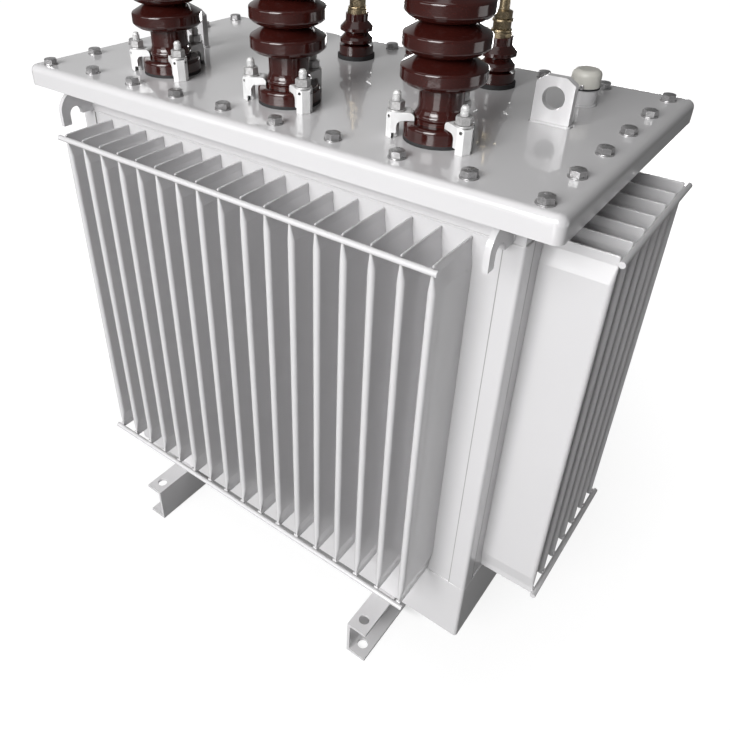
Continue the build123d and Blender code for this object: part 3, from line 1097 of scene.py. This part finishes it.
@dataclass
class ClawFasteners:
    """Stud, nut and washer on each claw that holds a high-voltage bushing."""

    bushings: tuple[str, ...] = ("left", "middle", "right")
    angles_deg: tuple[float, ...] = (-30.0, 90.0, 210.0)
    ring_radius: float = 0.057
    flats: float = 0.019
    nut_height: float = 0.0105
    washer_diameter: float = 0.025
    washer_thickness: float = 0.0022
    stud_diameter: float = 0.012
    stud_pitch: float = 0.00175
    stud_reach: float = 0.013
    stud_end: float = 0.003
    thread_sink: float = 0.002
    nut_turn: float = 1.7

    def places(self) -> list[Matrix]:
        """Where the studs stand on the claws' tops.

        Returns:
            One matrix a stud.
        """
        found = []
        for name in self.bushings:
            low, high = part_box(f"hv_bushing_{name}")
            middle = (low + high) / 2
            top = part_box(f"hv_claws_{name}")[1].z
            for angle in self.angles_deg:
                turn = math.radians(angle)
                spot = (
                    middle.x + self.ring_radius * math.cos(turn),
                    middle.y + self.ring_radius * math.sin(turn),
                    top,
                )
                found.append(Matrix.Translation(spot) @ Matrix.Rotation(turn * self.nut_turn, 4, "Z"))
        return found

    def build(self) -> None:
        """Make the nuts with their washers as one piece and the studs as another."""
        nut = bmesh.new()
        nut_top = self.washer_thickness + self.nut_height
        add_washer(nut, self.washer_diameter, 0.0, self.washer_thickness)
        add_hex(nut, self.flats, self.washer_thickness, nut_top, both_ends=True)
        nuts = bmesh.new()
        stamp(nuts, nut, self.places())
        finish_piece("claw_nuts", nuts, NUT_STEEL)
        stud = bmesh.new()
        top = nut_top + self.stud_reach
        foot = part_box("cover")[1].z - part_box("hv_claws_middle")[1].z
        core = self.stud_diameter / 2 - THREAD_DEPTH * self.stud_pitch
        add_disc(stud, core, foot, top, self.stud_end, segments=24, edge_segments=4)
        start = nut_top - self.thread_sink
        add_thread(stud, self.stud_diameter, self.stud_pitch, start, top - self.stud_end)
        studs = bmesh.new()
        stamp(studs, stud, self.places())
        finish_piece("claw_studs", studs, STUD_STEEL)


@dataclass
class TerminalHardware:
    """Nuts and washers on the studs of one row of bushings."""

    row: str
    names: tuple[str, ...]
    flats: float
    nut_height: float
    washer_diameter: float
    washer_thickness: float
    stud_diameter: float
    stud_pitch: float
    cap_height: float
    nuts: int = 2
    thread_swell: float = 1.03
    thread_end: float = 0.0015

    def build(self) -> Thing:
        """Make the row's hardware as one piece.

        Returns:
            The piece.
        """
        places = []
        reach = 0.0
        for name in self.names:
            low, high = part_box(f"{self.row}_terminal_{name}")
            middle = (low + high) / 2
            places.append(Matrix.Translation((middle.x, middle.y, low.z + self.cap_height)))
            reach = high.z - low.z - self.cap_height
        stack = bmesh.new()
        level = 0.0
        for _ in range(self.nuts):
            add_washer(stack, self.washer_diameter, level, self.washer_thickness)
            level += self.washer_thickness
            add_hex(stack, self.flats, level, level + self.nut_height, both_ends=True)
            level += self.nut_height
        diameter = self.stud_diameter * self.thread_swell
        add_thread(stack, diameter, self.stud_pitch, level, reach - self.thread_end)
        hardware = bmesh.new()
        stamp(hardware, stack, places)
        return finish_piece(f"{self.row}_terminal_nuts", hardware, TurnedBrass())


TERMINAL_ROWS = (
    TerminalHardware(
        row="hv",
        names=("left", "middle", "right"),
        flats=0.019,
        nut_height=0.01,
        washer_diameter=0.03,
        washer_thickness=0.0025,
        stud_diameter=0.012,
        stud_pitch=0.00175,
        cap_height=0.015,
    ),
    TerminalHardware(
        row="lv",
        names=("1", "2", "3", "4"),
        flats=0.024,
        nut_height=0.012,
        washer_diameter=0.032,
        washer_thickness=0.003,
        stud_diameter=0.016,
        stud_pitch=0.002,
        cap_height=0.008,
    ),
)


@dataclass
class FinWelds:
    """Beads along the fins' pinched ends and tacks where the rods cross the fins."""

    front_pitch: float = 0.044
    front_count: int = 17
    side_pitch: float = 0.046
    side_count: int = 7
    sheet_thickness: float = 0.003
    end_radius: float = 0.0019
    tack_radius: float = 0.0026
    tack_length: float = 0.011
    tack_gap: float = 0.0042
    rod_diameter: float = 0.009

    def build(self, side: Side) -> Thing:
        """Make one wall's welds as one piece.

        Args:
            side: The wall.

        Returns:
            The piece.
        """
        low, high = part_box(f"{side.word}_corrugated_wall")
        rods_low, rods_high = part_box(f"{side.word}_fin_rods")
        count, pitch = self.side_count, self.side_pitch
        if side in (Side.FRONT, Side.BACK):
            count, pitch = self.front_count, self.front_pitch
        tip = max(abs(side.outward.dot(low)), abs(side.outward.dot(high)))
        inner = min(abs(side.outward.dot(low)), abs(side.outward.dot(high)))
        root = inner + self.sheet_thickness
        bead = WeldBead(self.end_radius, ripple=0.0034, sides=6, unevenness=0.5)
        tack = WeldBead(self.tack_radius, ripple=0.0036, sides=6)
        bm = bmesh.new()
        for number in range(count):
            middle = side.along * (number - (count - 1) / 2) * pitch
            for level, inward in ((rods_low.z, 1), (rods_high.z, -1)):
                height = UP * level
                end = middle + side.outward * tip + height
                bead.lay(bm, [middle + side.outward * root + height, end])
                seat = end + UP * inward * (self.rod_diameter / 2 + self.tack_gap)
                step = side.along * self.tack_length / 2
                tack.lay(bm, [seat - step, seat + step])
        return finish_piece(f"{side.word}_fin_welds", bm, GlossPaint(), sharp_deg=60.0)


@dataclass
class BodyWelds:
    """Weld beads on the tank, the lugs, the hooks and the filler."""

    seam_radius: float = 0.0022
    rim_seam_radius: float = 0.0014
    hook_fillet_radius: float = 0.0022
    fillet_radius: float = 0.0032
    fillet_ripple: float = 0.0042
    setback: float = 0.0004
    seam_inset: float = 0.0014
    corner: float = 0.004
    hook_foot: float = 0.004
    hook_head: float = 0.002
    ring_spots: int = 32

    def build(self) -> Thing:
        """Make the welds as one piece.

        Returns:
            The piece.
        """
        bm = bmesh.new()
        self.tank_seams(bm)
        self.lug_fillets(bm)
        self.filler_ring(bm)
        self.hook_fillets(bm)
        return finish_piece("body_welds", bm, GlossPaint(), sharp_deg=60.0)

    def tank_seams(self, bm: Shape) -> None:
        """Lay the level seams above and below the corrugated walls.

        Args:
            bm: The bmesh to add to.
        """
        low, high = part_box("tank_lower_band")
        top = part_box("left_corner_posts")[1].z
        inset, corner = self.seam_inset, self.corner
        for level, radius in ((high.z, self.seam_radius), (top, self.rim_seam_radius)):
            seam = WeldBead(radius, ripple=0.004, sides=6)
            ring = [
                Vector((low.x + corner, low.y + inset, level)),
                Vector((high.x - corner, low.y + inset, level)),
                Vector((high.x - inset, low.y + corner, level)),
                Vector((high.x - inset, high.y - corner, level)),
                Vector((high.x - corner, high.y - inset, level)),
                Vector((low.x + corner, high.y - inset, level)),
                Vector((low.x + inset, high.y - corner, level)),
                Vector((low.x + inset, low.y + corner, level)),
            ]
            seam.lay(bm, ring, closed=True)

    def lug_fillets(self, bm: Shape) -> None:
        """Lay a fillet round the foot of each lifting lug.

        Args:
            bm: The bmesh to add to.
        """
        fillet = WeldBead(self.fillet_radius, ripple=self.fillet_ripple)
        for end in ("left", "right"):
            low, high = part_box(f"{end}_lifting_lug")
            level = low.z + self.setback
            ring = [
                Vector((low.x, low.y, level)),
                Vector((high.x, low.y, level)),
                Vector((high.x, high.y, level)),
                Vector((low.x, high.y, level)),
            ]
            fillet.lay(bm, ring, closed=True)

    def filler_ring(self, bm: Shape) -> None:
        """Lay the ring round the foot of the filler stub.

        Args:
            bm: The bmesh to add to.
        """
        low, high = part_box("filler_stub")
        middle = (low + high) / 2
        radius = (high.x - low.x) / 2
        ring = []
        for number in range(self.ring_spots):
            turn = number * FULL_TURN / self.ring_spots
            x = middle.x + radius * math.cos(turn)
            y = middle.y + radius * math.sin(turn)
            ring.append(Vector((x, y, low.z)))
        WeldBead(self.fillet_radius, ripple=self.fillet_ripple).lay(bm, ring, closed=True)

    def hook_fillets(self, bm: Shape) -> None:
        """Lay the upright fillets that hold the lashing hooks to the rim.

        Args:
            bm: The bmesh to add to.
        """
        fillet = WeldBead(self.hook_fillet_radius, ripple=self.fillet_ripple)
        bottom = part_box("left_corner_posts")[1].z + self.hook_foot
        for end in ("left", "right"):
            for side in (Side.FRONT, Side.BACK):
                low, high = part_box(f"{side.word}_{end}_hook")
                root = low.y if side is Side.BACK else high.y
                top = high.z - self.hook_head
                for x in (low.x, high.x):
                    fillet.lay(bm, [Vector((x, root, bottom)), Vector((x, root, top))])


@dataclass
class PostJoints:
    """Dark strips of painted shade along the joints between the corrugated walls and the corner posts."""

    width: float = 0.0011
    proud: float = 0.00015
    depth: float = 0.001

    def build(self) -> Thing:
        """Make the eight joint lines as one piece.

        Returns:
            The piece.
        """
        low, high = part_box("left_corner_posts")
        face = {Side.FRONT: -low.y, Side.BACK: high.y, Side.LEFT: -low.x, Side.RIGHT: -low.x}
        bm = bmesh.new()
        for side in Side:
            wall_low, wall_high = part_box(f"{side.word}_corrugated_wall")
            ends = (side.along.dot(wall_low), side.along.dot(wall_high))
            level = (low.z + high.z) / 2
            size = side.along * self.width + side.outward * self.depth + UP * (high.z - low.z)
            for end in ends:
                outer = face[side] + self.proud - self.depth / 2
                spot = side.along * end + side.outward * outer + UP * level
                place = Matrix.Translation(spot) @ Matrix.Diagonal((abs(size.x), abs(size.y), size.z, 1))
                bmesh.ops.create_cube(bm, size=1.0, matrix=place)
        # Painted shade: the thin strips stand in for the shade in the joint creases.
        return finish_piece("post_joints", bm, PaintedJointShade())


@dataclass
class FillerSeal:
    """The rubber ring in the seam between the filler stub and its cap."""

    radius: float = 0.0222
    thickness: float = 0.0026
    sink: float = 0.0001

    def build(self) -> Thing:
        """Make the ring.

        Returns:
            The piece.
        """
        low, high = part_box("filler_stub")
        middle = (low + high) / 2
        bm = bmesh.new()
        top = high.z + self.thickness
        add_disc(bm, self.radius, high.z - self.sink, top, self.thickness / 4, segments=64)
        bmesh.ops.translate(bm, vec=(middle.x, middle.y, 0), verts=bm.verts)
        return finish_piece("filler_seal", bm, SealRubber())


@dataclass
class FillerScrew:
    """The small locking screw in the side of the filler cap."""

    heading_deg: float = -82.0
    height_share: float = 0.18
    head_diameter: float = 0.007
    head_depth: float = 0.0022
    sink: float = 0.002

    def build(self) -> Thing:
        """Make the screw.

        Returns:
            The piece.
        """
        low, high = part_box("filler_cap")
        middle = (low + high) / 2
        radius = (high.x - low.x) / 2
        bm = bmesh.new()
        add_disc(bm, self.head_diameter / 2, -self.sink, self.head_depth, self.head_depth / 3, segments=20)
        top = [f for f in bm.faces if f.normal.z > 0.9 and len(f.verts) > 4]
        bmesh.ops.inset_region(bm, faces=top, thickness=self.head_diameter / 5)
        sunk = list({v for f in top for v in f.verts})
        bmesh.ops.translate(bm, vec=(0, 0, -self.head_depth / 2), verts=sunk)
        turn = math.radians(self.heading_deg)
        outward = Vector((math.cos(turn), math.sin(turn), 0))
        level = low.z + (high.z - low.z) * self.height_share
        place = Matrix.Translation(Vector((middle.x, middle.y, level)) + outward * radius)
        facing = outward.to_track_quat("Z", "Y").to_matrix().to_4x4()
        bmesh.ops.transform(bm, matrix=place @ facing, verts=bm.verts)
        return finish_piece("filler_cap_screw", bm, ZincPlate())


# Stage


@dataclass(frozen=True)
class PhotoCamera:
    """The camera, placed as the one that took the picture."""

    place: Triple = (0.6904, -0.9506, 1.2985)
    azimuth_deg: float = 37.183
    elevation_deg: float = 33.439
    roll_deg: float = 0.458
    focal_px: float = 716.14
    centre_px: tuple[float, float] = (325.59, 305.92)
    frame_px: float = 730.0
    sensor_mm: float = 36.0

    def build(self) -> Thing:
        """Make the camera and hand it to the scene.

        Returns:
            The camera object.
        """
        data = bpy.data.cameras.new("photo_camera")
        data.sensor_width = self.sensor_mm
        data.lens = self.focal_px / self.frame_px * self.sensor_mm
        data.shift_x = 0.5 - self.centre_px[0] / self.frame_px
        data.shift_y = self.centre_px[1] / self.frame_px - 0.5
        data.clip_start = 0.01
        camera = bpy.data.objects.new("photo_camera", data)
        azimuth, elevation = math.radians(self.azimuth_deg), math.radians(self.elevation_deg)
        level = math.cos(elevation)
        ahead = Vector((-math.sin(azimuth) * level, math.cos(azimuth) * level, -math.sin(elevation)))
        turn = ahead.to_track_quat("-Z", "Y").to_matrix().to_4x4()
        roll = Matrix.Rotation(math.radians(self.roll_deg), 4, "Z")
        camera.matrix_world = Matrix.Translation(self.place) @ turn @ roll
        bpy.context.scene.collection.objects.link(camera)
        bpy.context.scene.camera = camera
        return camera


@dataclass(frozen=True)
class Softbox:
    """A large soft lamp."""

    name: str
    place: Triple
    target: Triple
    size: tuple[float, float]
    watts: float

    def build(self) -> Thing:
        """Hang the lamp.

        Returns:
            The lamp object.
        """
        data = bpy.data.lights.new(self.name, "AREA")
        data.shape = "RECTANGLE"
        data.size, data.size_y = self.size
        data.energy = self.watts
        lamp = bpy.data.objects.new(self.name, data)
        aim = Vector(self.target) - Vector(self.place)
        lamp.matrix_world = Matrix.Translation(self.place) @ aim.to_track_quat("-Z", "Y").to_matrix().to_4x4()
        bpy.context.scene.collection.objects.link(lamp)
        return lamp


@dataclass(frozen=True)
class Studio:
    """Pale floor, white surround and soft lamps."""

    ambient: float = 0.06
    mirrored_floor: float = 0.06
    mirrored: Ends = (0.86, 0.985, 0.08, 0.55)
    window: Triple = (-0.7, 0.64, 0.31)
    floor_size: float = 12.0
    floor_colour: Colour = (0.2, 0.2, 0.2)
    # Painted shadow: the floor's glow is dimmer near the object and full further out.
    floor_glow_and_painted_shade: Ends = (0.5, 1.5, 0.84, 1.0)
    # Painted shadow under the tank: inside the box given next, the floor's glow falls to this share.
    shade: float = 0.1
    painted_shadow_sides: tuple[tuple[float, float], ...] = (
        (-0.5, -0.36),
        (0.34, 0.22),
        (-0.169, -0.158),
        (0.2, 0.05),
    )
    lamps: tuple[Softbox, ...] = (
        Softbox("key_softbox", (-0.05, -6.0, 3.5), (0.0, 0.0, 0.6), (3.8, 2.6), 375.0),
        Softbox("high_softbox", (0.3, -5.0, 5.0), (0.0, 0.0, 0.6), (3.0, 2.6), 104.0),
        Softbox("low_softbox", (0.0, -6.0, 1.0), (0.0, 0.0, 0.6), (3.0, 1.4), 28.0),
        Softbox("left_softbox", (-1.6, -2.6, 1.9), (0.0, 0.0, 0.7), (1.6, 1.4), 13.0),
        Softbox("top_softbox", (-0.4, -0.4, 3.6), (0.0, 0.0, 0.8), (1.8, 1.8), 10.0),
        Softbox("foot_softbox", (0.4, -1.6, 0.45), (0.3, -0.2, 0.15), (0.8, 0.4), 2.6),
        Softbox("back_softbox", (-1.0, 3.0, 0.5), (0.0, 0.0, 0.4), (2.0, 0.8), 70.0),
        Softbox("right_softbox", (3.0, 1.2, 0.5), (0.4, 0.0, 0.4), (1.6, 0.8), 6.0),
    )

    def build(self) -> None:
        """Set up the whole stage."""
        self.surround()
        self.floor()
        for lamp in self.lamps:
            lamp.build()
        bpy.context.scene.view_settings.view_transform = "Standard"

    def seen(self, sheet: NodeSheet, level: object) -> Socket:
        """Mark the rays that see the surround itself.

        Args:
            sheet: The node sheet to add to.
            level: How bright mirrors see it, a socket or a number.

        Returns:
            1 for camera rays, the level for glossy and transmission rays, else 0.
        """
        path = sheet.add("ShaderNodeLightPath")
        bounced = sheet.math("MAXIMUM", path.outputs["Is Glossy Ray"], path.outputs["Is Transmission Ray"])
        return sheet.math("MAXIMUM", path.outputs["Is Camera Ray"], sheet.math("MULTIPLY", bounced, level))

    def surround(self) -> None:
        """Make the world: white to look at, dimmer as a light, with one paler patch for mirrors."""
        world = bpy.data.worlds.new("white_surround")
        world.use_nodes = True
        world.node_tree.nodes.clear()
        sheet = NodeSheet(world.node_tree)
        light = sheet.add("ShaderNodeBackground", {"Color": (1, 1, 1, 1)})
        near = sheet.add("ShaderNodeVectorMath", {1: self.window}, operation="DOT_PRODUCT")
        sheet.link(sheet.add("ShaderNodeTexCoord").outputs["Generated"], near.inputs[0])
        seen = self.seen(sheet, sheet.spread(near.outputs["Value"], self.mirrored))
        sheet.link(sheet.spread(seen, (0.0, 1.0, self.ambient, 1.0)), light.inputs["Strength"])
        output = sheet.add("ShaderNodeOutputWorld")
        sheet.link(light.outputs[0], output.inputs[0])
        bpy.context.scene.world = world

    def outside_painted_shadow(self, sheet: NodeSheet) -> Socket:
        """Mark the floor outside the painted shadow under the tank.

        Args:
            sheet: The floor's node sheet.

        Returns:
            1 on the open floor, fading to a low value in the painted shadow under the tank.
        """
        split = sheet.add("ShaderNodeSeparateXYZ")
        sheet.link(sheet.object_place(), split.inputs[0])
        left, right, front, back = (
            sheet.spread(split.outputs[axis], (bare, full, 0.0, 1.0))
            for axis, (bare, full) in zip("XXYY", self.painted_shadow_sides)
        )
        across = sheet.math("MULTIPLY", left, right)
        covered = sheet.math("MULTIPLY", across, sheet.math("MULTIPLY", front, back))
        return sheet.spread(covered, (0.0, 1.0, 1.0, self.shade))

    def floor(self) -> None:
        """Lay the pale floor, which keeps the soft shadow; its glow is dimmed near the object and under the
        tank as painted shadow.
        """
        bm = bmesh.new()
        bmesh.ops.create_grid(bm, x_segments=1, y_segments=1, size=self.floor_size)
        mesh = bpy.data.meshes.new("studio_floor")
        bm.to_mesh(mesh)
        bm.free()
        material = bpy.data.materials.new("pale_floor")
        material.use_nodes = True
        material.node_tree.nodes.clear()
        sheet = NodeSheet(material.node_tree)
        matt = sheet.add("ShaderNodeBsdfDiffuse", {"Color": (*self.floor_colour, 1)})
        glow = sheet.add("ShaderNodeEmission", {"Color": (1, 1, 1, 1)})
        distance = sheet.add("ShaderNodeVectorMath", operation="LENGTH")
        sheet.link(sheet.object_place(), distance.inputs[0])
        # Painted shadow: the glow is dimmed near the object and in the box under the tank.
        paler = sheet.spread(distance.outputs["Value"], self.floor_glow_and_painted_shade)
        reach = sheet.math("MULTIPLY", paler, self.outside_painted_shadow(sheet))
        strength = sheet.math("MULTIPLY", self.seen(sheet, self.mirrored_floor), reach)
        sheet.link(strength, glow.inputs["Strength"])
        both = sheet.add("ShaderNodeAddShader")
        sheet.link(matt.outputs[0], both.inputs[0])
        sheet.link(glow.outputs[0], both.inputs[1])
        output = sheet.add("ShaderNodeOutputMaterial")
        sheet.link(both.outputs[0], output.inputs[0])
        mesh.materials.append(material)
        floor = bpy.data.objects.new("studio_floor", mesh)
        bpy.context.scene.collection.objects.link(floor)


def main() -> None:
    """Dress the transformer and set the stage."""
    logging.basicConfig(level=logging.INFO, format="%(name)s %(message)s")
    PhotoCamera().build()
    Studio().build()
    PaintedSolids().dress()
    CoverBolts().build()
    ClawFasteners().build()
    for row in TERMINAL_ROWS:
        row.build()
    for side in Side:
        FinWelds().build(side)
    BodyWelds().build()
    PostJoints().build()
    FillerSeal().build()
    FillerScrew().build()


if __name__ == "__main__":
    main()
